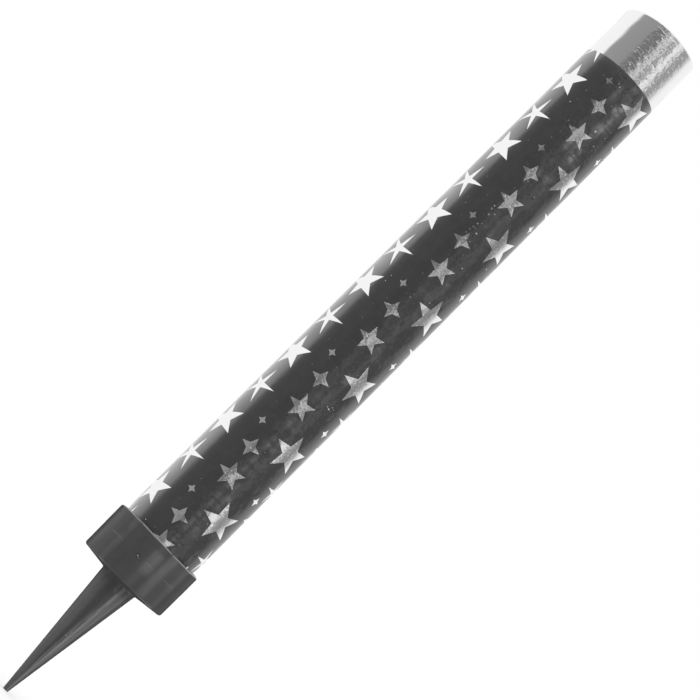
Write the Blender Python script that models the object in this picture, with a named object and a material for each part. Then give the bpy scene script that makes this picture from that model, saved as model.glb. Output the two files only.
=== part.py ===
# Cake fountain: a paper tube of sparkling charge, wrapped in silver foil and a star-printed film,
# and pushed into the cup of a plastic spike. Metres, +Z up. The origin is on the axis at the foot
# of the cup, where the spike ends: the spike goes down into what carries the fountain.
import math

import bmesh
import bpy

MM = 0.001

# Spike and cup, one moulding
SPIKE_LENGTH = 25.1 * MM
SPIKE_BASE_RADIUS = 3.6 * MM
SPIKE_TIP_RADIUS = 0.5 * MM
SPIKE_TIP_ROUNDING = 0.15 * MM
SPIKE_ROOT_FILLET = 0.25 * MM
CUP_WALL = 1.0 * MM
CUP_FLOOR = 2.0 * MM
CUP_DEPTH = 7.35 * MM
CUP_FOOT_RISE = 0.6 * MM
CUP_FOOT_ROUNDING = 0.4 * MM
CUP_DRAFT_DEGREES = 0.45
LIP_DROP = 0.22 * MM
LIP_ROUNDING = 0.18 * MM

# Paper tube
TUBE_BORE_RADIUS = 6.1 * MM
TUBE_WALL = 1.2 * MM
TUBE_LENGTH = 125.6 * MM

# Foil and printed film
FOIL_THICKNESS = 0.07 * MM
FILM_THICKNESS = 0.06 * MM
BARE_FOIL_BAND = 10.5 * MM

# Filling, from the foot of the tube up. The charge fills what the other layers leave.
PLUG_LENGTH = 14.0 * MM
PRIMING_LENGTH = 2.0 * MM
DISC_THICKNESS = 1.2 * MM
MOUTH_RECESS = 12.9 * MM

# Fuse: a straight riser through the disc, then a lean to +X inside the mouth
FUSE_RADIUS = 0.9 * MM
FUSE_LENGTH = 11.0 * MM
FUSE_RISER = 2.9 * MM
FUSE_BEND_RADIUS = 9.0 * MM
FUSE_LEAN_DEGREES = 24.0

# Clearances
GLUE_LINE = 0.03 * MM
CUP_FIT = 0.12 * MM
SEAT_GAP = 0.3 * MM
PLUG_RECESS = 0.3 * MM
FILL_FIT = 0.05 * MM
LAYER_GAP = 0.1 * MM
FUSE_FIT = 0.2 * MM

# Facets. All round pieces share them, so that their flats stay parallel.
ROUND_FACETS = 64
FUSE_FACETS = 16
BEND_STEPS = 8
ROUNDING_STEPS = 4
WELD = 0.0002 * MM
SHARP_DEGREES = 35.0

# Worked out from the sizes above
tube_radius = TUBE_BORE_RADIUS + TUBE_WALL
foil_bore = tube_radius + GLUE_LINE
foil_radius = foil_bore + FOIL_THICKNESS
film_bore = foil_radius + GLUE_LINE
film_radius = film_bore + FILM_THICKNESS
cup_bore = film_radius + CUP_FIT
lip_radius = cup_bore + CUP_WALL
cup_top = CUP_FLOOR + CUP_DEPTH
tube_foot = CUP_FLOOR + SEAT_GAP
tube_top = tube_foot + TUBE_LENGTH
film_top = tube_top - BARE_FOIL_BAND
fill_radius = TUBE_BORE_RADIUS - FILL_FIT
plug_foot = tube_foot + PLUG_RECESS
charge_foot = plug_foot + PLUG_LENGTH + LAYER_GAP
disc_foot = tube_top - MOUTH_RECESS - DISC_THICKNESS
priming_foot = disc_foot - LAYER_GAP - PRIMING_LENGTH
charge_length = priming_foot - LAYER_GAP - charge_foot


def make_material(name, colour, roughness, metallic):
    material = bpy.data.materials.new(name)
    material.use_nodes = True
    shader = material.node_tree.nodes["Principled BSDF"]
    shader.inputs["Base Color"].default_value = (*colour, 1.0)
    shader.inputs["Roughness"].default_value = roughness
    shader.inputs["Metallic"].default_value = metallic
    return material


def add_object(name, bm, material):
    """Turns a bmesh into a named object with one material and smooth round faces."""
    bmesh.ops.remove_doubles(bm, verts=bm.verts, dist=WELD)
    bmesh.ops.dissolve_degenerate(bm, edges=bm.edges, dist=WELD)
    bmesh.ops.recalc_face_normals(bm, faces=bm.faces)
    mesh = bpy.data.meshes.new(name)
    bm.to_mesh(mesh)
    bm.free()
    mesh.materials.append(material)
    mesh.shade_smooth()
    mesh.set_sharp_from_angle(angle=math.radians(SHARP_DEGREES))
    piece = bpy.data.objects.new(name, mesh)
    bpy.context.scene.collection.objects.link(piece)
    return piece


def turn(name, outline, material, closed):
    """Spins an outline of (radius, height) points round the Z axis into a closed solid."""
    bm = bmesh.new()
    points = [bm.verts.new((radius, 0.0, height)) for radius, height in outline]
    edges = [bm.edges.new(pair) for pair in zip(points, points[1:])]
    if closed:
        edges.append(bm.edges.new((points[-1], points[0])))
    bmesh.ops.spin(
        bm, geom=points + edges, cent=(0.0, 0.0, 0.0), axis=(0.0, 0.0, 1.0),
        angle=math.tau, steps=ROUND_FACETS, use_merge=True,
    )
    return add_object(name, bm, material)


def make_sleeve(name, bore, radius, foot, top, material):
    outline = [(bore, foot), (radius, foot), (radius, top), (bore, top)]
    return turn(name, outline, material, closed=True)


def make_slug(name, radius, foot, length, material):
    outline = [(0.0, foot), (radius, foot), (radius, foot + length), (0.0, foot + length)]
    return turn(name, outline, material, closed=False)


def rounded(outline, corners):
    """Replaces each listed corner of an outline by an arc of the given radius."""
    result = []
    for index, point in enumerate(outline):
        radius = corners.get(index)
        if radius is None:
            result.append(point)
            continue
        before = outline[index - 1]
        after = outline[index + 1]
        result.extend(corner_arc(before, point, after, radius))
    return result


def corner_arc(before, corner, after, radius):
    """Points of the arc of this radius that touches both sides of a corner."""
    length_in = math.dist(before, corner)
    length_out = math.dist(corner, after)
    way_in = [(b - c) / length_in for b, c in zip(before, corner)]
    way_out = [(a - c) / length_out for a, c in zip(after, corner)]
    half_angle = math.acos(sum(i * o for i, o in zip(way_in, way_out))) / 2.0
    reach = min(radius / math.tan(half_angle), length_in / 2.0, length_out / 2.0)
    radius = reach * math.tan(half_angle)
    middle = [i + o for i, o in zip(way_in, way_out)]
    to_centre = radius / math.sin(half_angle) / math.hypot(*middle)
    centre = [c + m * to_centre for c, m in zip(corner, middle)]
    start = [c + i * reach for c, i in zip(corner, way_in)]
    turn_angle = math.pi - 2.0 * half_angle
    crossing = way_in[0] * way_out[1] - way_in[1] * way_out[0]
    step = math.copysign(turn_angle / ROUNDING_STEPS, -crossing)
    spoke = [s - c for s, c in zip(start, centre)]
    arc = []
    for number in range(ROUNDING_STEPS + 1):
        cosine = math.cos(step * number)
        sine = math.sin(step * number)
        arc.append((
            centre[0] + spoke[0] * cosine - spoke[1] * sine,
            centre[1] + spoke[0] * sine + spoke[1] * cosine,
        ))
    return arc


def make_holder(material):
    foot_radius = lip_radius - (cup_top - CUP_FOOT_RISE) * math.tan(math.radians(CUP_DRAFT_DEGREES))
    outline = [
        (0.0, -SPIKE_LENGTH),
        (SPIKE_TIP_RADIUS, -SPIKE_LENGTH),
        (SPIKE_BASE_RADIUS, 0.0),
        (foot_radius, CUP_FOOT_RISE),
        (lip_radius, cup_top - LIP_DROP),
        (cup_bore + CUP_WALL / 2.0, cup_top),
        (cup_bore, cup_top - LIP_DROP),
        (cup_bore, CUP_FLOOR),
        (0.0, CUP_FLOOR),
    ]
    corners = {
        1: SPIKE_TIP_ROUNDING,
        2: SPIKE_ROOT_FILLET,
        3: CUP_FOOT_ROUNDING,
        4: LIP_ROUNDING,
    }
    return turn("spike_holder", rounded(outline, corners), material, closed=False)


def make_disc(material):
    hole_radius = FUSE_RADIUS + FUSE_FIT
    top = disc_foot + DISC_THICKNESS
    return make_sleeve("card_disc", hole_radius, fill_radius, disc_foot, top, material)


def fuse_path():
    """Centre line and directions of the fuse, in the XZ plane: riser, bend, straight end."""
    lean = math.radians(FUSE_LEAN_DEGREES)
    foot = disc_foot
    bend_foot = foot + FUSE_RISER
    stations = [(0.0, foot, 0.0)]
    for number in range(BEND_STEPS + 1):
        angle = lean * number / BEND_STEPS
        x = FUSE_BEND_RADIUS * (1.0 - math.cos(angle))
        z = bend_foot + FUSE_BEND_RADIUS * math.sin(angle)
        stations.append((x, z, angle))
    straight = FUSE_LENGTH - FUSE_RISER - FUSE_BEND_RADIUS * lean
    end_x = stations[-1][0] + straight * math.sin(lean)
    end_z = stations[-1][1] + straight * math.cos(lean)
    stations.append((end_x, end_z, lean))
    return stations


def make_fuse(material):
    bm = bmesh.new()
    rings = []
    for x, z, lean in fuse_path():
        ring = []
        for number in range(FUSE_FACETS):
            turn_angle = math.tau * number / FUSE_FACETS
            out = FUSE_RADIUS * math.cos(turn_angle)
            side = FUSE_RADIUS * math.sin(turn_angle)
            ring.append(bm.verts.new((x + out * math.cos(lean), side, z - out * math.sin(lean))))
        rings.append(ring)
    for lower, upper in zip(rings, rings[1:]):
        for number in range(FUSE_FACETS):
            following = (number + 1) % FUSE_FACETS
            bm.faces.new((lower[number], lower[following], upper[following], upper[number]))
    bm.faces.new(rings[0])
    bm.faces.new(rings[-1])
    return add_object("fuse", bm, material)


def build():
    for old in list(bpy.data.objects):
        bpy.data.objects.remove(old)

    black_plastic = make_material("black_plastic", (0.058, 0.058, 0.06), 0.35, 0.0)
    grey_paper = make_material("grey_paper", (0.45, 0.42, 0.37), 0.9, 0.0)
    silver_foil = make_material("silver_foil", (0.8, 0.8, 0.8), 0.22, 1.0)
    black_film = make_material("black_film", (0.05, 0.05, 0.052), 0.15, 0.0)
    dry_clay = make_material("dry_clay", (0.55, 0.5, 0.42), 0.95, 0.0)
    pressed_charge = make_material("pressed_charge", (0.3, 0.3, 0.29), 0.9, 0.0)
    first_fire = make_material("first_fire", (0.06, 0.06, 0.06), 0.95, 0.0)
    grey_card = make_material("grey_card", (0.5, 0.47, 0.42), 0.9, 0.0)
    green_cord = make_material("green_cord", (0.06, 0.16, 0.08), 0.6, 0.0)

    make_holder(black_plastic)
    make_sleeve("paper_tube", TUBE_BORE_RADIUS, tube_radius, tube_foot, tube_top, grey_paper)
    make_sleeve("foil_jacket", foil_bore, foil_radius, tube_foot, tube_top, silver_foil)
    make_sleeve("star_film", film_bore, film_radius, tube_foot, film_top, black_film)
    make_slug("clay_plug", fill_radius, plug_foot, PLUG_LENGTH, dry_clay)
    make_slug("fountain_charge", fill_radius, charge_foot, charge_length, pressed_charge)
    make_slug("priming_layer", fill_radius, priming_foot, PRIMING_LENGTH, first_fire)
    make_disc(grey_card)
    make_fuse(green_cord)


build()
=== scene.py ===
# Cake fountain: how each piece looks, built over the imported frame.
# Pieces are modelled in millimetres and scaled to metres when they are finished.
import math
import random

import bmesh
import bpy
from mathutils import Matrix, Vector, noise


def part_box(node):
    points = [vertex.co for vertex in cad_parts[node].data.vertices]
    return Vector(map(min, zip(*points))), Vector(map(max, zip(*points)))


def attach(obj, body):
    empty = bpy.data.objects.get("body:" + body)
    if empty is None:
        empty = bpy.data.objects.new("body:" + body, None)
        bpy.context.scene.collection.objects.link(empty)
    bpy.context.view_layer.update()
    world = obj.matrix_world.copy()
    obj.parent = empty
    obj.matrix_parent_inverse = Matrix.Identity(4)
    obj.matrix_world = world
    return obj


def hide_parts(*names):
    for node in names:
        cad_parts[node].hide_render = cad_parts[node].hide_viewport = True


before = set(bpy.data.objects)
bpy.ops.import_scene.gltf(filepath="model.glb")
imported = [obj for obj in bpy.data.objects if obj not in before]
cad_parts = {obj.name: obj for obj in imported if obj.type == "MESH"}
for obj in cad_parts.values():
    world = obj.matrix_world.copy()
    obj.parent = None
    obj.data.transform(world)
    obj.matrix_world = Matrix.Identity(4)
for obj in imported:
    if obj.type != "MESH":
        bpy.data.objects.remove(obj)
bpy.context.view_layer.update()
mm = 0.001
weld = 0.0005
scene = bpy.context.scene


def span(node):
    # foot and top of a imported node, in millimetres
    low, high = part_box(node)
    return round(low.z / mm, 3), round(high.z / mm, 3)


tubeFoot, tubeTop = span("paper_tube")
filmTop = span("star_film")[1]
spikeTip, cupTop = span("spike_holder")
print("frame loaded:", ", ".join(sorted(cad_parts)))


# Camera: a long lens level with the cup, looking slightly up, and rolled so that the tube runs from
# corner to corner
view = {
    "place": (-0.13, -404.0, 7.0),
    "aim": (-0.13, 0.0, 53.39),
    "lens": 126.98,
    "roll": 44.95,
}


def makeCamera():
    lens = bpy.data.cameras.new("camera")
    lens.lens = view["lens"]
    lens.sensor_width = 36.0
    lens.clip_start = 0.01
    lens.clip_end = 20.0
    eye = bpy.data.objects.new("camera", lens)
    scene.collection.objects.link(eye)
    place = Vector(view["place"]) * mm
    look = (Vector(view["aim"]) * mm - place).to_track_quat("-Z", "Y").to_matrix().to_4x4()
    eye.matrix_world = Matrix.Translation(place) @ look @ Matrix.Rotation(math.radians(view["roll"]), 4, "Z")
    scene.camera = eye


makeCamera()
scene.view_settings.view_transform = "Standard"
print("camera placed")


# Shader wiring: a socket that can be used in sums, and one method that makes any other node
class Wire:
    def __init__(self, tree, socket=None):
        self.tree = tree
        self.socket = socket

    def node(self, kind, settings, values, out=0):
        made = self.tree.nodes.new(kind)
        for name, setting in settings.items():
            if name == "stops":
                fillRamp(made.color_ramp, setting)
            else:
                setattr(made, name, setting)
        for name, value in values.items():
            if isinstance(value, Wire):
                self.tree.links.new(value.socket, made.inputs[name])
            else:
                made.inputs[name].default_value = value
        return Wire(self.tree, made.outputs[out])

    def sum(self, operation, first, second=0.0):
        return self.node("ShaderNodeMath", {"operation": operation}, {0: first, 1: second})

    def __add__(self, other):
        return self.sum("ADD", self, other)

    def __radd__(self, other):
        return self.sum("ADD", other, self)

    def __sub__(self, other):
        return self.sum("SUBTRACT", self, other)

    def __rsub__(self, other):
        return self.sum("SUBTRACT", other, self)

    def __mul__(self, other):
        return self.sum("MULTIPLY", self, other)

    def __rmul__(self, other):
        return self.sum("MULTIPLY", other, self)

    def __gt__(self, other):
        return self.sum("GREATER_THAN", self, other)


def fillRamp(ramp, stops):
    while len(ramp.elements) < len(stops):
        ramp.elements.new(1.0)
    for element, (place, shade) in zip(ramp.elements, stops):
        element.position = place
        element.color = (shade, shade, shade, 1.0)


def ease(value, low, high):
    # 0 below low, 1 above high, smooth between
    limits = {"Value": value, "From Min": low, "From Max": high}
    return value.node("ShaderNodeMapRange", {"interpolation_type": "SMOOTHSTEP"}, limits)


def streak(value, middle, reach):
    # 1 at the middle, 0 from the reach on
    return 1.0 - ease(value.sum("ABSOLUTE", value - middle), reach * 0.3, reach)


def cloud(place, scale, detail=2.0, rough=0.5):
    values = {"Vector": place, "Scale": scale, "Detail": detail, "Roughness": rough}
    return place.node("ShaderNodeTexNoise", {}, values)


def wrinkles(place, scale, detail=2.0, rough=0.5):
    # noise that swings about zero, so that it leaves no step where it fades out
    return cloud(place, scale, detail, rough) - 0.5


def stretch(place, factors, turn=0.0):
    values = {"Vector": place, "Scale": factors, "Rotation": (0.0, 0.0, turn)}
    return place.node("ShaderNodeMapping", {}, values)


def distance(place, spot):
    return place.node("ShaderNodeVectorMath", {"operation": "DISTANCE"}, {0: place, 1: spot}, "Value")


def along(place, axis):
    return place.node("ShaderNodeSeparateXYZ", {}, {"Vector": place}, axis)


def height(place):
    return along(place, "Z")


def fromAxis(place):
    flat = place.node("ShaderNodeVectorMath", {"operation": "MULTIPLY"}, {0: place, 1: (1.0, 1.0, 0.0)})
    return distance(flat, (0.0, 0.0, 0.0))


def specks(place, scale, size, often):
    # round dots in some of the cells of a Voronoi pattern: often is their share
    cells = place.node("ShaderNodeTexVoronoi", {}, {"Vector": place, "Scale": scale}, "Distance")
    middle = Wire(place.tree, cells.socket.node.outputs["Position"])
    pick = place.node("ShaderNodeTexWhiteNoise", {}, {"Vector": middle})
    return (1.0 - ease(cells, size * 0.45, size)) * (pick > 1.0 - often)


def mixShade(factor, first, second):
    first, second = [shade if isinstance(shade, Wire) else (*shade, 1.0) for shade in (first, second)]
    colours = {0: factor, 6: first, 7: second}
    return factor.node("ShaderNodeMix", {"data_type": "RGBA"}, colours, 2)


def around(place):
    # angle round the tube in degrees, 0 at the front and rising to the right
    return place.sum("ARCTAN2", along(place, "X"), along(place, "Y") * -1.0) * math.degrees(1.0)


def startMaterial(name):
    material = bpy.data.materials.new(name)
    material.use_nodes = True
    shader = material.node_tree.nodes["Principled BSDF"]
    start = Wire(material.node_tree)
    place = start.node("ShaderNodeTexCoord", {}, {}, "Object")
    place = start.node("ShaderNodeVectorMath", {"operation": "SCALE"}, {0: place, "Scale": 1000.0})
    return material, shader, place


def plug(shader, **values):
    # feeds or sets the shader's sockets; a name's underscores stand for spaces
    for name, value in values.items():
        socket = shader.inputs[name.replace("_", " ")]
        if isinstance(value, Wire):
            value.tree.links.new(value.socket, socket)
        else:
            socket.default_value = value


def bump(relief):
    # relief in millimetres
    return relief.node("ShaderNodeBump", {}, {"Height": relief, "Distance": mm, "Strength": 1.0})


# Mesh helpers
def outline(corners, rounds, closed=False):
    # a half section of (radius, height) corners; rounds gives the corners that are rounded
    bm = bmesh.new()
    points = [bm.verts.new((radius, 0.0, level)) for radius, level in corners]
    for pair in zip(points, points[1:]):
        bm.edges.new(pair)
    if closed:
        bm.edges.new((points[-1], points[0]))
    for index, (size, segments) in rounds.items():
        bmesh.ops.bevel(
            bm, geom=[points[index]], offset=size, offset_type="OFFSET", affect="VERTICES",
            segments=segments, profile=0.5, material=-1,
        )
    return bm


def spinRound(bm, steps=128):
    half = bm.verts[:] + bm.edges[:]
    bmesh.ops.spin(
        bm, geom=half, cent=(0, 0, 0), axis=(0, 0, 1), angle=math.tau, steps=steps, use_merge=True,
    )
    bmesh.ops.remove_doubles(bm, verts=bm.verts[:], dist=weld)
    bmesh.ops.recalc_face_normals(bm, faces=bm.faces[:])
    return bm


def cutPlane(bm, spot, way, clear=False):
    everything = bm.verts[:] + bm.edges[:] + bm.faces[:]
    bmesh.ops.bisect_plane(bm, geom=everything, plane_co=spot, plane_no=way, clear_outer=clear)


def cutLevels(bm, levels):
    for level in levels:
        cutPlane(bm, (0, 0, level), (0, 0, 1))


def cutAngle(bm, degrees):
    # adds a line of edges down the tube at this angle, and one opposite
    turn = math.radians(degrees)
    cutPlane(bm, (0, 0, 0), (math.cos(turn), math.sin(turn), 0))


def angleOf(point):
    return math.degrees(math.atan2(point.x, -point.y))


def radiusOf(point):
    return math.hypot(point.x, point.y)


def share(value, low, high):
    # 0 at low, 1 at high, in proportion between them
    return min(1.0, max(0.0, (value - low) / (high - low)))


def pushOut(vert, rise):
    # moves a point away from the axis
    grow = 1.0 + rise / radiusOf(vert.co)
    vert.co.x *= grow
    vert.co.y *= grow


def lapRise(angle, lap):
    # how far the outer end of a wrapped sheet stands off, just past its edge
    past = (angle - lap["edge"]) % 360.0
    if past > lap["width"]:
        return 0.0
    return lap["rise"] * (1.0 - past / lap["width"])


def addLap(bm, lap, above):
    # two cuts close together make the lap's edge a step
    cutAngle(bm, lap["edge"] + 0.02)
    cutAngle(bm, lap["edge"] - 0.15)
    for vert in bm.verts:
        if vert.co.z > above:
            pushOut(vert, lapRise(angleOf(vert.co), lap))


def finishPiece(bm, name, material, body, nodes=(), sharp=32.0):
    bmesh.ops.remove_doubles(bm, verts=bm.verts[:], dist=weld)
    bmesh.ops.dissolve_degenerate(bm, edges=bm.edges[:], dist=weld)
    bmesh.ops.recalc_face_normals(bm, faces=bm.faces[:])
    bmesh.ops.scale(bm, vec=(mm, mm, mm), verts=bm.verts[:])
    mesh = bpy.data.meshes.new(name)
    bm.to_mesh(mesh)
    bm.free()
    mesh.materials.append(material)
    mesh.shade_smooth()
    mesh.set_sharp_from_angle(angle=math.radians(sharp))
    piece = bpy.data.objects.new(name, mesh)
    scene.collection.objects.link(piece)
    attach(piece, body)
    if nodes:
        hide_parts(*nodes)
    print("made", name, "with", len(mesh.polygons), "faces")
    return piece


# Spike and cup: one black moulding
moulding = {
    "tip": 0.5,
    "root": 3.6,
    "foot": (8.54, 0.6),
    "witness": 5.25,
    "gate": (-0.92, -8.54, 5.15),
    "gateTail": (-0.58, -8.57, 4.97),
    "burr": (-0.03, -2.03, -12.0),  # a speck of flash halfway down the spike
    "flank": (8.574, 8.592),  # the radius just below and just above the witness line
    "lip": 8.61,
    "bore": 7.61,
    "floor": 2.0,
    # the uneven lip: waves round it, each with a number, a height and a start
    "waves": ((1, -0.05, 0.0), (2, -0.12, 0.0), (11, 0.02, 0.6), (23, 0.012, 2.0)),
    # how far the spike stands off the cup's middle, and how far its tip leans
    "bent": (0.11, 0.65),
    "dark": (0.04, 0.04, 0.041),
    "pale": (0.1, 0.1, 0.102),
    # the pale marks' colour, below: painted highlights on the lip's edge and the gate mark, and the burr
    "thin": (0.36, 0.36, 0.365),
}


def blackPlastic():
    material, shader, place = startMaterial("blackPlastic")
    level = height(place)
    aside, lean = moulding["bent"]
    offAxis = (level * (lean / spikeTip) + aside) * (1.0 - (level > 0.0))
    straight = place.node("ShaderNodeCombineXYZ", {}, {"X": offAxis, "Y": 0.0, "Z": 0.0})
    straight = place.node("ShaderNodeVectorMath", {"operation": "ADD"}, {0: place, 1: straight})
    angle = around(straight)
    onSpike = 1.0 - ease(level, -2.4, -0.5)
    # swung: the angle that the spike's painted highlight bands follow
    swung = angle - (level * 0.9 + 6.7) * onSpike  # the bands down the spike drift to the left
    under = (1.0 - ease(level, 0.5, 0.66)) * ease(fromAxis(place), 3.55, 3.8)
    # marks down the spike, left by the tool that cut its mould: a bump, and pale painted highlight streaks
    # on the spike's right
    across = angle * (level * 0.0098 + 0.285)
    drawn = place.node("ShaderNodeCombineXYZ", {}, {"X": across, "Y": level * 0.25, "Z": 0.0})
    drawn = cloud(drawn, 1.0, 1.0)
    flow = cloud(stretch(place, (0.45, 0.45, 0.3)), 1.0, 3.0)
    bands = cloud(stretch(place, (0.5, 0.5, 0.03)), 1.0, 1.0)
    grain = cloud(place, 9.0, 2.0)
    # the gate mark where the mould was filled: its nub and tail are painted pale as a highlight, with a
    # painted shaded ring round the nub, and the nub is a small bump too
    gate = distance(place, moulding["gate"])
    gateMark = 1.0 - ease(gate, 0.06, 0.18)
    gateTail = 1.0 - ease(distance(place, moulding["gateTail"]), 0.04, 0.15)
    gateShadeRing = streak(gate, 0.34, 0.14)
    # the witness line: a painted highlight along its step on the left, front and right, and a small bump
    witness = streak(level + wrinkles(place, 0.8) * 0.25, moulding["witness"], 0.16)
    witness = witness * (streak(angle, -43.0, 14.0) + streak(angle, 10.5, 8.0) + streak(angle, 43.0, 14.0))
    seam = streak(along(place, "Y"), 0.0, 0.1)
    scuffs = ease(cloud(stretch(place, (3.0, 3.0, 0.35), 0.4), 1.6, 4.0, 0.7), 0.6, 0.74)
    dust = specks(place, 1.1, 0.13, 0.3)
    # the pale marks: a painted highlight along the lip's uneven upper edge, the gate mark's painted
    # highlight where the mould was filled, and the burr
    wavy = level
    for number, rise, start in moulding["waves"]:
        wavy = wavy - angle.sum("SINE", angle * math.radians(number) + start) * rise
    thin = ease(wavy, cupTop - 0.29, cupTop - 0.2) * ease(cloud(place, 0.7, 2.0), 0.2, 0.45) * 0.8
    burr = 1.0 - ease(distance(place, moulding["burr"]), 0.06, 0.2)
    thin = thin + gateMark * 0.8 + gateTail * 0.4 + burr * 0.4
    # painted highlights: soft upright bands on the cup's left, broken up, and pale bands on the spike's left
    # and right
    patchy = ease(cloud(stretch(place, (0.9, 0.9, 0.35)), 1.0, 3.0), 0.3, 0.62)
    spikeLeftHighlight = ease(angle, -84.0, -58.0) * (1.0 - ease(angle + level * 0.9, -38.0, -14.0))
    spikeLeftHighlight = spikeLeftHighlight * onSpike
    spikeRightHighlight = streak(swung, 40.0, 22.0) * onSpike * (1.0 - ease(level, -16.0, -1.0) * 0.45)
    highlightStreaks = ease(drawn, 0.45, 0.58) * streak(swung, 29.0, 27.0) * onSpike
    # the cup's bands on the left are painted highlights, and they also get a glossier coat
    leftHighlightBands = (streak(angle, -62.0, 8.0) * 0.3 + streak(angle, -35.0, 7.0)) * patchy
    leftHighlightBands = leftHighlightBands * (1.0 - onSpike)
    tone = flow * 0.35 + bands * 0.3 + grain * 0.1 + scuffs * 0.22 + dust * 0.3 + leftHighlightBands * 0.22
    # a painted highlight on the cup's front right: a pale patch with rings; the mould was polished best on
    # the front right, so the coat is glossiest there: a patch on the cup, and down the spike
    upper = ease(level, 2.9, 4.7) * (1.0 - ease(level, 7.6, 8.2) * 0.85)
    upper = upper * (1.0 - ease(angle, 15.0, 19.0) * 0.6)
    rings = ease(cloud(stretch(place, (0.25, 0.25, 3.0)), 1.0, 2.0), 0.5, 0.64) * streak(angle, 11.0, 9.0)
    tone = tone + (streak(angle, 14.0, 5.0) * 0.45 + rings * 0.3) * upper + spikeLeftHighlight * 0.58
    tone = tone + spikeRightHighlight * 0.8 + highlightStreaks * 0.55 - gateShadeRing * 0.3 + witness * 0.6 - 0.02
    body = mixShade(tone, moulding["dark"], moulding["pale"])
    patch = upper + ease(angle, 17.0, 25.0) * (1.0 - upper) * (ease(level, 0.0, 9.0) * 0.3 + 0.5)
    patch = patch * (patchy * 0.35 + 0.7)
    patch = patch + onSpike * (highlightStreaks * 0.6 + 1.1 - patch)
    right = ease(swung - onSpike * 11.0, -4.0, 4.0)
    polish = ease(angle, -78.0, -62.0) * (0.27 - onSpike * 0.07) + right * patch * 0.6
    polish = polish * (1.0 - ease(angle, 46.0, 57.0) * 0.84) * (1.0 - ease(angle, 72.0, 84.0))
    polish = polish + leftHighlightBands * 0.3 + thin * 0.3
    relief = (drawn - 0.5) * onSpike * 0.05 + flow * 0.14 + wrinkles(place, 0.9) * 0.05 + gateMark * 0.06
    relief = relief + seam * 0.03 + witness * 0.02 + grain * 0.002 + dust * 0.01
    plug(
        shader,
        Base_Color=mixShade(thin + spikeRightHighlight * 0.07, body, moulding["thin"]),
        Roughness=0.5 + flow * 0.1 + scuffs * 0.1,
        Specular_IOR_Level=0.0,
        Coat_Weight=polish * (1.0 - under),
        Coat_IOR=1.85,
        Coat_Roughness=0.18,
        Normal=bump(relief),
    )
    return material


def bendSpike(bm):
    # the spike isn't quite straight as it comes from the mould
    aside, lean = moulding["bent"]
    for vert in bm.verts:
        if vert.co.z < moulding["foot"][1]:
            shift = aside * share(radiusOf(vert.co), 8.0, 4.0)
            vert.co.x -= shift + lean * max(0.0, vert.co.z / spikeTip)


def waveLip(bm):
    # the lip's outer edge rises and falls round the cup
    for vert in bm.verts:
        if vert.co.z > cupTop - 0.4 and radiusOf(vert.co) > 7.9:
            turn = math.radians(angleOf(vert.co))
            wave = sum(rise * math.sin(number * turn + start) for number, rise, start in moulding["waves"])
            vert.co.z += wave * share(vert.co.z, cupTop - 0.4, cupTop - 0.1)


def makeMoulding():
    m = moulding
    below, above = m["flank"]
    corners = [
        (0.0, spikeTip), (m["tip"], spikeTip), (m["root"], 0.0), m["foot"],
        (below, m["witness"] - 0.04), (above, m["witness"] + 0.02),
        (m["lip"], cupTop - 0.22), (m["bore"] + 0.5, cupTop - 0.03), (m["bore"], cupTop - 0.24),
        (m["bore"], m["floor"]), (0.0, m["floor"]),
    ]
    rounds = {
        1: (0.12, 4), 2: (0.2, 4), 3: (0.42, 6), 6: (0.2, 5), 7: (0.12, 4), 8: (0.1, 3), 9: (0.3, 4),
    }
    bm = spinRound(outline(corners, rounds), 160)
    cutLevels(bm, [spikeTip + 1.0 + 1.5 * row for row in range(16)])
    waveLip(bm)
    bendSpike(bm)
    finishPiece(bm, "spikeMoulding", blackPlastic(), "holder", ["spike_holder"])


makeMoulding()


# Foil jacket: bare at the top, under the film below
foil = {
    "bore": 7.33,
    "outside": 7.4,
    "turnedIn": 7.02,  # how far in the foil is folded over the rim
    # how much lower the cut end is on the left, and from the front to the right
    "slant": 0.7,
    "dip": 0.12,
    "lap": {"edge": 205.0, "width": 14.0, "rise": 0.06},
    "shade": 0.89,
    # the shade below is for the windows where they are painted dimmer, as a part of the foil's
    "dimShade": 0.62,  # a dulled spot's shade, as a part of the foil's
    "rough": 0.1,
}


def creased(place):
    # where the sheet is creased: on the front right, in patches on the back, hardly on the left
    angle = around(place)
    front = ease(angle, -20.0, -12.0) * (ease(angle, -12.0, 2.0) * 0.25 + 0.75)
    front = front * (1.0 - ease(angle, 44.0, 54.0))
    quiet = ease(angle, -80.0, -70.0) * (1.0 - ease(angle, 60.0, 90.0))
    back = ease(cloud(place, 0.16, 1.0), 0.48, 0.6) * (1.0 - quiet)
    return front + back * 0.8


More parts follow.
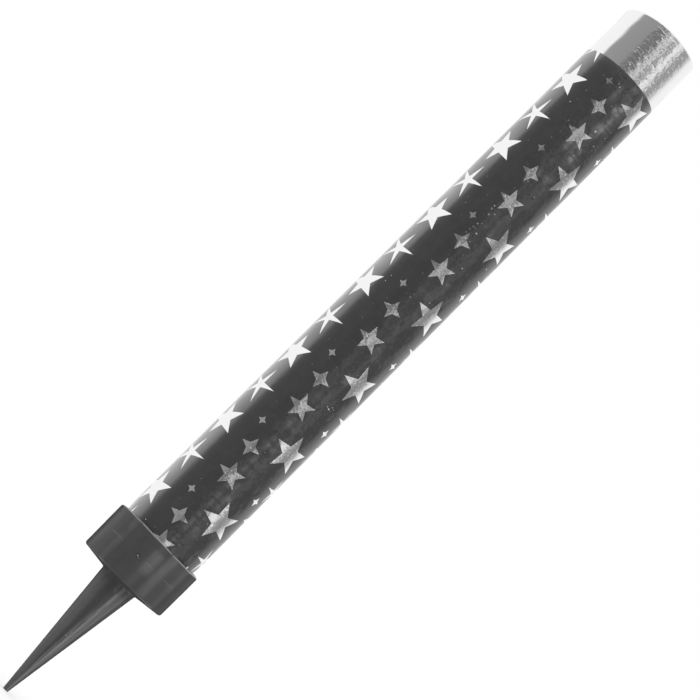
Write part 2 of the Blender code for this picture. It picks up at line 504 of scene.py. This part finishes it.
def silverFoil(name, shade, rough, dimmed):
    material, shader, place = startMaterial(name)
    strong = creased(place)
    broad = wrinkles(stretch(place, (0.28, 0.28, 0.14)), 1.0)
    dents = wrinkles(stretch(place, (0.85, 0.85, 1.5)), 1.0, 2.0, 0.55)
    ruffles = wrinkles(stretch(place, (0.85, 0.85, 3.2)), 1.0, 1.0)
    fine = wrinkles(place, 2.6, 2.0)
    pits = specks(place, 1.25, 0.3, 0.45) * strong
    relief = strong * (dents * 0.11 + ruffles * 0.05 + fine * 0.018) + broad * 0.09 - pits * 0.05
    angle = around(place)
    level = height(place)
    # painted shade on the windows: dimmer on the front right, more so higher up, less in a streak low down
    # at 29 degrees, and dimmer on the small stars at -12 degrees from the middle up
    dimming = ease(angle, -2.0, 6.0) * (1.0 - ease(angle, 46.0, 58.0))
    dimming = dimming * (ease(level, 30.0, 112.0) * 0.6 + 0.6) * ease(level, 8.5, 15.0)
    lessShaded = streak(angle, 29.0, 13.0) * (1.0 - ease(level, 28.0, 58.0))
    dimming = dimming * (1.0 - lessShaded * 0.8)
    dimming = dimming + streak(angle, 6.0, 9.0) * ease(level, 60.0, 110.0) * 0.5
    small = streak(angle, -12.0, 12.0) * (ease(level, 64.0, 90.0) * 0.9 + ease(level, 102.0, 114.0))
    dimming = (dimming + small) * dimmed
    # painted shade: the foil is darker in its pits and creases, less so in the streak at 29 degrees low
    # down, and the windows' painted dimming is added
    tone = pits * 0.7 + strong * (fine * 1.6 + 0.2) * (1.0 - lessShaded * 0.8) + dimming
    plug(
        shader,
        Base_Color=mixShade(tone, [shade] * 3, [shade * foil["dimShade"]] * 3),
        Roughness=rough + strong * 0.11 + pits * 0.15 + broad * 0.04,
        Metallic=1.0,
        Normal=bump(relief + fine * 0.002),
    )
    return material


def slantTop(bm):
    # the end is cut a little askew
    for vert in bm.verts:
        angle = angleOf(vert.co)
        left = max(0.0, -vert.co.x / foil["outside"]) ** 1.2
        right = share(angle, -18.0, -4.0) * share(angle, 150.0, 100.0)
        drop = foil["slant"] * left + foil["dip"] * right
        vert.co.z -= drop * share(vert.co.z, filmTop + 1.0, filmTop + 9.0)


def makeFoil():
    f = foil
    corners = [
        (f["bore"], tubeFoot), (f["outside"], tubeFoot),
        (f["outside"], filmTop - 0.2), (f["outside"], filmTop + 0.05), (f["outside"], tubeTop),
        (f["turnedIn"], tubeTop), (f["turnedIn"], tubeTop - 0.06), (f["bore"], tubeTop - 0.06),
    ]
    bm = spinRound(outline(corners, {4: (0.28, 6), 7: (0.22, 6)}, closed=True))
    cutLevels(bm, [filmTop + 0.6 + 1.5 * row for row in range(6)])
    addLap(bm, f["lap"], filmTop)
    slantTop(bm)
    material = silverFoil("silverFoil", f["shade"], f["rough"], 0.0)
    finishPiece(bm, "foilWrap", material, "fountain", ["foil_jacket"])


makeFoil()


# Film: clear wrap printed black, with star windows that show the foil
film = {
    "bore": 7.43,
    "outside": 7.49,
    "lap": {"edge": 160.0, "width": 16.0, "rise": 0.06},
    "loose": 0.11,
    "dark": 0.0391,
    "pale": 0.1196,
    "rough": 0.16,
}


def filmRadius(level):
    # the film stands off a little more towards the cup, but not inside it
    return film["outside"] + film["loose"] * share(level, cupTop, cupTop + 2.0) * share(level, 86.0, 14.0)


def blackFilm():
    material, shader, place = startMaterial("blackFilm")
    strong = creased(place)
    angle = around(place)
    level = height(place)
    broad = wrinkles(stretch(place, (0.28, 0.28, 0.12)), 1.0)
    ripples = wrinkles(place, 0.42, 2.0, 0.5)
    creases = wrinkles(stretch(place, (0.5, 0.5, 2.2)), 1.0, 2.0, 0.5)
    fine = wrinkles(place, 1.9, 2.0)
    bubbles = specks(place, 0.9, 0.2, 0.22)
    dust = specks(place, 2.4, 0.16, 0.2)
    scratch = cloud(stretch(place, (0.5, 0.5, 6.0), 0.5), 1.0, 3.0, 0.6)
    scratch = 1.0 - ease(place.sum("ABSOLUTE", scratch - 0.5), 0.0, 0.006)
    scratch = scratch * ease(cloud(place, 0.2), 0.55, 0.7)
    tone = ripples * 0.2 + bubbles * 0.3 + dust * 0.25 + scratch * 0.12 + 0.1
    # from its edge on the back round to the left the clear wrap lies double, and shines more
    past = place.sum("FLOORED_MODULO", angle - film["lap"]["edge"], 360.0)
    doubled = 1.0 - ease(past + 1.5 - ease(level, 30.0, 90.0), 139.0, 175.0)
    doubled = doubled * (ease(past, 50.0, 115.0) * 0.6 + 0.4)
    doubled = doubled * (cloud(stretch(place, (0.22, 0.22, 0.14)), 1.0, 1.0) * 0.9 + 0.55)
    doubled = doubled + ease(past, 246.0, 262.0) * 0.22
    # and it has come loose in patches on the front right, most of all near the top
    top = ease(level, 90.0, 104.0)
    loose = ease(angle, 3.0, 13.0) * (1.0 - ease(angle, 32.0, 46.0)) * (top * 0.6 + 0.24)
    loose = loose * ease(cloud(stretch(place, (0.3, 0.3, 0.3)), 1.0, 2.0) + top * 0.06, 0.5, 0.7)
    loose = loose * (creases * 3.0 + 1.0)
    # and slack in level ripples above the cup
    slack = streak(angle, 14.5, 9.5) * (1.0 - ease(level, 32.0, 52.0))
    slack = slack * ease(cloud(stretch(place, (0.2, 0.2, 1.3)), 1.0, 1.0), 0.4, 0.62)
    relief = strong * (ripples * 0.3 + creases * 0.12 + fine * 0.03) + broad * 0.12 + ripples * 0.05
    relief = relief + bubbles * 0.03 + dust * 0.006
    relief = relief + ease(angle, -54.0, -32.0) * (0.1 - ease(level, 40.0, 90.0) * 0.07)
    plug(
        shader,
        Base_Color=mixShade(tone, [film["dark"]] * 3, [film["pale"]] * 3),
        Roughness=film["rough"] + ripples * 0.06 + scratch * 0.3,
        IOR=1.46,
        Coat_IOR=2.4,
        Coat_Roughness=0.12,
        Coat_Weight=doubled + loose + slack * 0.4,
        Normal=bump(relief),
    )
    return material


def makeFilm():
    f = film
    corners = [
        (f["bore"], tubeFoot), (f["outside"], tubeFoot), (f["outside"], filmTop), (f["bore"], filmTop),
    ]
    bm = spinRound(outline(corners, {2: (0.02, 2)}, closed=True))
    cutLevels(bm, [cupTop, cupTop + 1.0, cupTop + 2.0] + [cupTop + 5.0 * row for row in range(1, 22)])
    for vert in bm.verts:
        if radiusOf(vert.co) > f["outside"] - 0.03:
            pushOut(vert, filmRadius(vert.co.z) - f["outside"])
    addLap(bm, f["lap"], 0.0)
    finishPiece(bm, "filmWrap", blackFilm(), "fountain", ["star_film"])


makeFilm()


# Star windows: eight columns on the front half, most of them again on the back half
stars = {
    "proud": 0.012,
    "sunk": 0.02,
    "facet": 0.4,  # the width of the slices that let a star wrap round the tube
    "bulge": 5.5,  # degrees that the shading leans on the front left
    # where a column comes again on the back: degrees further round, the drop, and degrees per step up
    "back": (186.0, -9.1, 0.0),
    "shade": 0.9,
    "rough": 0.12,
}
# a column's path: its angle at a height of 62, and how the angle grows with the rise and its square;
# its turns are used one after the other up the column, and then again
starColumns = [
    {
        "points": 5, "reach": 3.56, "waist": 0.41, "turns": (44.5, 26.5), "path": (-57.8, 0.09, -0.00073),
        "heights": (-0.9, 14.96, 30.82, 46.38, 62.68, 78.72, 94.72, 110.62), "back": (164.0, -9.1, 0.15),
    },
    {
        "points": 5, "reach": 3.62, "waist": 0.23, "turns": (8.0,), "path": (-57.7, 0.088, -0.00092),
        "heights": (7.4, 22.96, 38.64, 54.34, 70.52, 86.62, 102.58, 118.52),
    },
    {
        "points": 4, "reach": 0.78, "waist": 0.47, "turns": (0.0,), "path": (-13.4, 0.1, -0.0005),
        "heights": (2.9, 18.77, 34.53, 50.23, 66.45, 82.51, 98.47, 114.43),
    },
    {
        "points": 4, "reach": 1.84, "waist": 0.41, "turns": (0.0,), "path": (0.4, 0.102, -0.00056),
        "heights": (14.32, 30.14, 45.84, 62.06, 78.16, 94.16, 110.12),
    },
    {
        "points": 5, "reach": 2.44, "waist": 0.42, "turns": (34.0,), "path": (8.3, 0.105, -0.00056),
        "heights": (9.1, 24.62, 40.34, 56.04, 72.26, 88.36, 104.32),
    },
    {
        "points": 5, "reach": 3.66, "waist": 0.41, "path": (45.2, 0.122, -0.00063),
        "turns": (27.5, 41.0, 27.5, 44.0, 27.5, 45.0, 27.5, 45.0),
        "heights": (2.2, 18.02, 33.7, 49.54, 65.66, 82.0, 97.82, 113.78),
    },
    {
        "points": 4, "reach": 0.9, "waist": 0.44, "turns": (0.0,), "path": (65.0, 0.136, -0.0012),
        "heights": (8.7, 24.54, 40.3, 56.04, 72.3, 88.42, 104.38),
    },
    {
        "points": 5, "reach": 2.8, "waist": 0.22, "turns": (36.0,), "path": (83.0, 0.12, -0.0013),
        "heights": (11.8, 27.72, 43.8, 60.06, 76.06, 92.02, 107.98), "frontOnly": True,
    },
]
# holes in the print: angle, height and radius
pinholes = [
    (5.6, 114.9, 0.16), (2.2, 115.2, 0.09), (14.6, 115.1, 0.07), (-10.6, 116.6, 0.08), (15.2, 111.7, 0.1),
    (-22.0, 110.7, 0.09), (42.2, 108.9, 0.1), (-26.8, 107.5, 0.15), (41.6, 107.5, 0.15),
    (24.2, 106.9, 0.19), (-10.6, 104.9, 0.13), (-14.6, 104.7, 0.07), (37.4, 105.1, 0.16),
    (40.4, 104.5, 0.1), (-10.6, 100.9, 0.09), (27.2, 111.1, 0.07), (26.4, 101.5, 0.09), (7.4, 92.9, 0.11),
    (1.4, 90.6, 0.06), (28.4, 91.9, 0.07), (-30.4, 98.0, 0.06), (-0.4, 86.1, 0.17), (-0.4, 85.4, 0.2),
    (2.2, 84.4, 0.23), (7.4, 85.1, 0.11), (-7.0, 86.2, 0.06), (-30.4, 83.3, 0.09), (0.2, 82.0, 0.16),
    (3.6, 82.5, 0.1), (-1.0, 81.2, 0.14), (2.6, 81.2, 0.13), (8.0, 80.7, 0.16), (-1.6, 80.5, 0.13),
    (-2.4, 79.7, 0.13), (2.0, 79.6, 0.08), (9.2, 79.0, 0.08), (-22.0, 81.2, 0.05), (15.8, 76.7, 0.06),
    (27.2, 75.1, 0.11), (-4.6, 69.8, 0.09), (29.0, 67.3, 0.09), (33.8, 67.4, 0.06), (-31.6, 66.1, 0.1),
    (-32.2, 64.8, 0.08), (-1.0, 65.6, 0.08), (5.6, 65.6, 0.08), (6.8, 66.3, 0.08), (14.6, 65.3, 0.06),
    (-19.0, 57.8, 0.06), (58.4, 78.3, 0.1), (-11.8, 49.2, 0.06), (2.6, 49.1, 0.06), (29.6, 50.5, 0.06),
    (30.2, 43.5, 0.1), (33.4, 43.4, 0.15), (35.2, 43.4, 0.12), (36.2, 44.0, 0.13), (37.4, 43.3, 0.09),
    (39.8, 43.9, 0.12), (-19.0, 20.9, 0.06), (13.8, 31.1, 0.06), (-33.5, 10.1, 0.06), (-17.0, 10.3, 0.06),
    (26.6, 16.5, 0.06),
]


def flatStar(column, level, turn):
    # a flat star of a fan of triangles, cut where it would pass the film's ends, and sliced to wrap
    bm = bmesh.new()
    sides = column["points"] * 2
    fan = bmesh.ops.create_circle(
        bm, cap_ends=True, cap_tris=True, segments=sides, radius=column["reach"],
    )
    rim = [vert for vert in fan["verts"] if vert.co.length > 0.01]
    rim.sort(key=lambda vert: math.atan2(vert.co.y, vert.co.x))
    for vert in rim[1::2]:
        vert.co *= column["waist"]
    swing = math.radians(turn) - math.atan2(rim[0].co.y, rim[0].co.x)
    bmesh.ops.rotate(bm, verts=bm.verts[:], cent=(0, 0, 0), matrix=Matrix.Rotation(swing, 3, "Z"))
    for edge, way in ((filmTop - 0.02, 1), (tubeFoot + 0.02, -1)):
        cutPlane(bm, (0, edge - level, 0), (0, way, 0), clear=True)
    slices = int(column["reach"] / stars["facet"]) + 1
    for number in range(-slices, slices + 1):
        cutPlane(bm, (number * stars["facet"], 0, 0), (1, 0, 0))
    raised = bmesh.ops.extrude_face_region(bm, geom=bm.faces[:])
    raised = [item for item in raised["geom"] if isinstance(item, bmesh.types.BMVert)]
    bmesh.ops.translate(bm, verts=raised, vec=(0, 0, stars["proud"] + stars["sunk"]))
    return bm


def addStar(target, column, angle, level, turn):
    bm = flatStar(column, level, turn)
    for vert in bm.verts:
        swing = math.radians(angle) + vert.co.x / film["outside"]
        radius = filmRadius(level + vert.co.y) - stars["sunk"] + vert.co.z
        radius += lapRise(math.degrees(swing), film["lap"])
        vert.co = (radius * math.sin(swing), -radius * math.cos(swing), level + vert.co.y)
    patch = bpy.data.meshes.new("patch")
    bm.to_mesh(patch)
    bm.free()
    target.from_mesh(patch)
    bpy.data.meshes.remove(patch)


def leanNormals(mesh):
    # the windows shine as the round tube does, but on the front left as if they bulged to the left,
    # and there the low ones most
    normals = []
    for vert in mesh.vertices:
        angle = angleOf(vert.co)
        low = share(vert.co.z / mm, 60.0, 30.0)
        start = low * 7.0 - 4.0
        lean = share(angle, start, start - 6.0) * (low + 1.0) + share(angle, -26.0, -34.0)
        swing = math.radians(angle - stars["bulge"] * lean * share(angle, -64.0, -52.0))
        normals.append(Vector((math.sin(swing), -math.cos(swing), 0.0)))
    mesh.normals_split_custom_set_from_vertices(normals)


def makeStars():
    target = bmesh.new()
    for angle, level, radius in pinholes:
        addStar(target, {"points": 5, "reach": radius, "waist": 0.85}, angle, level, angle * 40.0)
    for column in starColumns:
        start, lean, curve = column["path"]
        for index, level in enumerate(column["heights"]):
            rise = level - 62.0
            angle = start + lean * rise + curve * rise * rise
            turn = column["turns"][index % len(column["turns"])]
            addStar(target, column, angle, level, turn)
            swing, drop, tilt = column.get("back", stars["back"])
            backLevel = level + drop
            if not column.get("frontOnly") and backLevel + column["reach"] > tubeFoot + 0.3:
                addStar(target, column, angle + swing + tilt * rise, backLevel, turn)
    # the windows' foil, with its painted dimming
    material = silverFoil("starFoil", stars["shade"], stars["rough"], 0.75)
    piece = finishPiece(target, "starWindows", material, "fountain")
    leanNormals(piece.data)


makeStars()


# Paper tube: plies of rolled paper, which show as rings on the cut end
paper = {
    "bore": 6.1,
    "outside": 7.3,
    "bare": 7.0,  # the foil is turned in over the rim outside this
    "plies": 8,
    "rings": 0.15,
    "seam": 130.0,  # where the inner ply ends
    "innerStep": 0.12,
    "pale": (0.5, 0.46, 0.4),
    "dark": (0.3, 0.27, 0.23),
}


def rolledPaper():
    material, shader, place = startMaterial("rolledPaper")
    plies = place.sum("SINE", fromAxis(place) * (math.tau / paper["rings"]))
    fibres = cloud(stretch(place, (6.0, 6.0, 1.2)), 1.0, 4.0, 0.7)
    blotch = cloud(place, 0.5, 3.0)
    scorch = ease(height(place), tubeTop - 9.5, tubeTop) * 0.25
    tone = fibres * 0.5 + plies * 0.12 + blotch * 0.35 + scorch
    plug(
        shader,
        Base_Color=mixShade(tone, paper["pale"], paper["dark"]),
        Roughness=0.8 + fibres * 0.15,
        Specular_IOR_Level=0.25,
        Normal=bump(fibres * 0.036 + plies * 0.015),
    )
    return material


def makePaperTube():
    p = paper
    ply = (p["bare"] - p["bore"]) / p["plies"]
    chance = random.Random(4)
    corners = [
        (p["bore"], tubeFoot), (p["outside"], tubeFoot),
        (p["outside"], tubeTop - 0.1), (p["bare"] + 0.05, tubeTop - 0.1),
    ]
    for number in range(p["plies"]):  # from the outer ply to the inner one
        outer = p["bare"] - ply * number
        level = tubeTop - chance.uniform(0.0, 0.07)
        inner = outer - ply
        corners += [(outer - 0.01, level - 0.06), (outer - 0.03, level)]
        corners += [(inner + 0.03, level), (inner + 0.01, level - 0.06)]
    corners[-1] = (p["bore"], corners[-1][1])
    bm = spinRound(outline(corners, {1: (0.1, 2)}, closed=True))
    cutLevels(bm, [filmTop + 0.6 + 1.5 * row for row in range(6)])
    cutAngle(bm, p["seam"] + 0.1)
    cutAngle(bm, p["seam"] - 0.6)
    for vert in bm.verts:  # the inner ply ends in a step down the bore
        if radiusOf(vert.co) < p["bore"] + 0.02:
            past = (angleOf(vert.co) - p["seam"]) % 360.0
            pushOut(vert, p["innerStep"] * (past / 360.0) ** 2)
    slantTop(bm)
    finishPiece(bm, "paperCore", rolledPaper(), "fountain", ["paper_tube"], sharp=40.0)


makePaperTube()


# Filling: clay plug, pressed charge and priming
filling = {
    "radius": 6.05,
    "press": 9.45,  # the height that one pressing fills
    "groove": (0.12, 0.07),  # half its height, and its depth
    "uneven": 0.05,
    # each powder: dark and light colour, how fine its grains are, depth of relief, how many flakes
    "clay": ((0.42, 0.38, 0.31), (0.62, 0.57, 0.49), 5.0, 0.08, 0.0),
    "charge": ((0.2, 0.2, 0.19), (0.42, 0.42, 0.41), 7.0, 0.06, 0.22),
    "priming": ((0.03, 0.03, 0.03), (0.1, 0.1, 0.1), 9.0, 0.06, 0.05),
}


def powder(name, dark, light, fineness, depth, sparkle):
    material, shader, place = startMaterial(name)
    grains = cloud(place, fineness, 4.0, 0.7)
    clumps = cloud(place, fineness * 0.2, 3.0, 0.6)
    pores = specks(place, fineness * 0.5, 0.35, 0.3)
    flakes = specks(place, fineness * 0.6, 0.3, sparkle)
    plug(
        shader,
        Base_Color=mixShade(ease(grains * 0.5 + clumps * 0.5 + flakes * 0.6, 0.25, 0.85), dark, light),
        Metallic=flakes * 0.8,
        Roughness=0.95 - flakes * 0.6,
        Specular_IOR_Level=0.2,
        Normal=bump((grains * 0.5 + clumps - pores * 0.8 + flakes * 0.3) * depth),
    )
    return material


def makeSlug(name, rounding, material, node, grooves=()):
    foot, top = span(node)
    radius = filling["radius"]
    reach, depth = filling["groove"]
    face = [0.0, 1.5, 3.0, 4.5, radius]
    corners = [(ring, foot) for ring in face]
    for level in grooves:  # where one pressing meets the next
        corners += [(radius, level - reach), (radius - depth, level), (radius, level + reach)]
    corners += [(ring, top) for ring in reversed(face)]
    bm = spinRound(outline(corners, {4: (rounding, 4), len(corners) - 5: (rounding, 4)}), 96)
    for vert in bm.verts:  # the pressed faces are a little uneven
        if radiusOf(vert.co) < radius - rounding * 0.5:
            wave = noise.noise(Vector((vert.co.x * 0.45, vert.co.y * 0.45, vert.co.z)))
            inward = 1.0 if vert.co.z < (foot + top) / 2 else -1.0
            vert.co.z += inward * filling["uneven"] * abs(wave)
    finishPiece(bm, name, material, "fountain", [node])


def makeFilling():
    clay = powder("dryClay", *filling["clay"])
    makeSlug("clayStopper", 0.35, clay, "clay_plug")
    charge = powder("pressedCharge", *filling["charge"])
    foot, top = span("fountain_charge")
    rows = int((top - foot) / filling["press"])
    grooves = [foot + filling["press"] * row for row in range(1, rows)]
    makeSlug("pressedColumn", 0.2, charge, "fountain_charge", grooves)
    prime = powder("firstFire", *filling["priming"])
    makeSlug("primingCake", 0.15, prime, "priming_layer")


makeFilling()


# Card washer: it holds the layers down, and the fuse comes through its hole
washer = {
    "hole": 1.1,
    "sunk": ((4.4, 0.03), (2.6, 0.07)),  # how far the face sinks at these radii
    "pale": (0.56, 0.53, 0.47),
    "dark": (0.27, 0.25, 0.22),
}


def greyCard():
    material, shader, place = startMaterial("greyCard")
    fibres = cloud(stretch(place, (2.2, 9.0, 6.0), 0.6), 1.0, 4.0, 0.7)
    crossing = cloud(stretch(place, (9.0, 2.4, 6.0), -0.5), 1.0, 4.0, 0.7)
    flecks = specks(place, 1.6, 0.16, 0.3)
    soot = 1.0 - ease(fromAxis(place), 1.1, 2.6)
    tone = fibres * 0.4 + crossing * 0.4 + flecks * 0.5 + soot * 0.35
    plug(
        shader,
        Base_Color=mixShade(tone, washer["pale"], washer["dark"]),
        Roughness=0.85 + fibres * 0.1,
        Specular_IOR_Level=0.25,
        Normal=bump((fibres + crossing) * 0.05),
    )
    return material


def makeWasher():
    foot, top = span("card_disc")
    radius = filling["radius"]
    hole = washer["hole"]
    face = [(ring, top - depth) for ring, depth in washer["sunk"]]
    corners = [(hole, foot), (radius, foot), (radius, top), *face, (hole, top)]
    bm = spinRound(outline(corners, {1: (0.1, 3), 2: (0.16, 4), 5: (0.12, 4)}, closed=True), 96)
    finishPiece(bm, "cardWasher", greyCard(), "fountain", ["card_disc"])


makeWasher()


# Fuse: a stiff twisted cord, riser first and then a lean to the right
wick = {
    "radius": 0.9,
    "riser": 2.9,
    "bend": 9.0,
    "length": 11.0,
    "lean": 24.0,
    "twist": 3.04,  # turns from end to end
    "strands": 3,
    "steps": 44,
    "dark": (0.03, 0.09, 0.045),
    "light": (0.13, 0.26, 0.15),
}


def wickPath():
    lean = math.radians(wick["lean"])
    points = []
    for number in range(wick["steps"] + 1):
        reach = wick["length"] * number / wick["steps"]
        past = reach - wick["riser"]
        if past <= 0.0:
            points.append((0.0, reach, 0.0))
            continue
        angle = min(past / wick["bend"], lean)
        rest = past - angle * wick["bend"]
        x = wick["bend"] * (1.0 - math.cos(angle)) + rest * math.sin(angle)
        z = wick["riser"] + wick["bend"] * math.sin(angle) + rest * math.cos(angle)
        points.append((x, z, angle))
    return points


def greenCord():
    material, shader, place = startMaterial("greenCord")
    lacquer = cloud(place, 2.0, 3.0)
    fibres = cloud(stretch(place, (9.0, 9.0, 2.0)), 1.0, 3.0, 0.7)
    ash = ease(height(place), tubeTop - 5.0, tubeTop - 3.2)
    tone = lacquer * 0.5 + fibres * 0.3 + ash * 0.5
    plug(
        shader,
        Base_Color=mixShade(tone, wick["dark"], wick["light"]),
        Roughness=0.5 + fibres * 0.25,
        Coat_Weight=0.35 - ash * 0.3,
        Coat_Roughness=0.25,
        Normal=bump((fibres + lacquer * 0.4) * 0.05),
    )
    return material


def placeRing(verts, flat, spot):
    centre, out, side = spot
    for vert, point in zip(verts, flat):
        vert.co = centre + out * point.x + side * point.y


def makeWick():
    bm = bmesh.new()
    thin = wick["radius"] * 0.5
    offset = wick["radius"] - thin - 0.01
    foot = span("card_disc")[0]
    side = Vector((0.0, 1.0, 0.0))
    for strand in range(wick["strands"]):
        ring = bmesh.ops.create_circle(bm, cap_ends=True, segments=14, radius=thin)["verts"]
        face = ring[0].link_faces[0]
        spots = []
        for number, (x, z, lean) in enumerate(wickPath()):
            turn = math.tau * (strand / wick["strands"] + wick["twist"] * number / wick["steps"])
            out = Vector((math.cos(lean), 0.0, -math.sin(lean)))
            middle = Vector((x, 0.0, foot + z))
            centre = middle + (out * math.cos(turn) + side * math.sin(turn)) * offset
            spots.append((centre, out, side))
        flat = [vert.co.copy() for vert in ring]
        placeRing(ring, flat, spots[0])
        for spot in spots[1:]:
            grown = bmesh.ops.extrude_face_region(bm, geom=[face], use_keep_orig=False)
            face = next(item for item in grown["geom"] if isinstance(item, bmesh.types.BMFace))
            placeRing(face.verts[:], flat, spot)
        bmesh.ops.holes_fill(bm, edges=[edge for edge in bm.edges if edge.is_boundary])
    finishPiece(bm, "wickCord", greenCord(), "fountain", ["fuse"], sharp=50.0)


makeWick()


# Floor and light
light = {
    "floor": (0.9, 0.9, 0.9, 1.0),
    "glow": 0.15,  # lifts the floor to white for the camera alone
    # what the shiny pieces see round the horizon: degrees from the front, and brightness
    "studio": [
        (-180, 1.0), (-90, 1.0), (-82, 0.33), (-30, 0.29), (-25, 0.18), (4.5, 0.17), (11, 0.73), (23, 0.71),
        (28, 0.2), (35, 0.25), (44, 0.97), (60, 0.97), (66, 0.32), (89, 0.34), (99, 0.64),
        (108, 0.88), (118, 0.98), (180, 1.0),
    ],
}


def makeFloor():
    bm = bmesh.new()
    bmesh.ops.create_grid(bm, x_segments=8, y_segments=8, size=2500.0)
    bmesh.ops.translate(bm, verts=bm.verts[:], vec=(0, 0, spikeTip))
    bmesh.ops.scale(bm, vec=(mm, mm, mm), verts=bm.verts[:])
    mesh = bpy.data.meshes.new("floor")
    bm.to_mesh(mesh)
    bm.free()
    material = bpy.data.materials.new("paleFloor")
    material.use_nodes = True
    tree = material.node_tree
    start = Wire(tree)
    shader = tree.nodes["Principled BSDF"]
    plug(shader, Base_Color=light["floor"], Roughness=0.9, Specular_IOR_Level=0.0)
    seen = start.node("ShaderNodeLightPath", {}, {}, "Is Camera Ray")
    glow = start.node("ShaderNodeEmission", {}, {"Color": (1, 1, 1, 1), "Strength": seen * light["glow"]})
    both = start.node("ShaderNodeAddShader", {}, {0: Wire(tree, shader.outputs[0]), 1: glow})
    under = start.node("ShaderNodeNewGeometry", {}, {}, "Backfacing")
    clear = start.node("ShaderNodeBsdfTransparent", {}, {})
    mixed = start.node("ShaderNodeMixShader", {}, {0: under, 1: both, 2: clear})
    tree.links.new(mixed.socket, tree.nodes["Material Output"].inputs["Surface"])
    mesh.materials.append(material)
    floor = bpy.data.objects.new("floor", mesh)
    scene.collection.objects.link(floor)
    floor.visible_glossy = False


def makeWorld():
    world = bpy.data.worlds.new("studio")
    world.use_nodes = True
    tree = world.node_tree
    start = Wire(tree)
    way = start.node("ShaderNodeTexCoord", {}, {}, "Generated")
    turn = (around(way) + 180.0) * (1.0 / 360.0)
    stops = [((degrees + 180.0) / 360.0, shade) for degrees, shade in light["studio"]]
    cards = start.node("ShaderNodeValToRGB", {"stops": stops}, {"Fac": turn}, "Color")
    white = (1.0, 1.0, 1.0)
    seen = mixShade(ease(height(way), 0.4, 0.7), cards, white)
    shiny = start.node("ShaderNodeLightPath", {}, {}, "Is Glossy Ray")
    colour = mixShade(shiny, white, seen)
    tree.links.new(colour.socket, tree.nodes["Background"].inputs["Color"])
    scene.world = world


makeFloor()
makeWorld()
print("floor and light set")
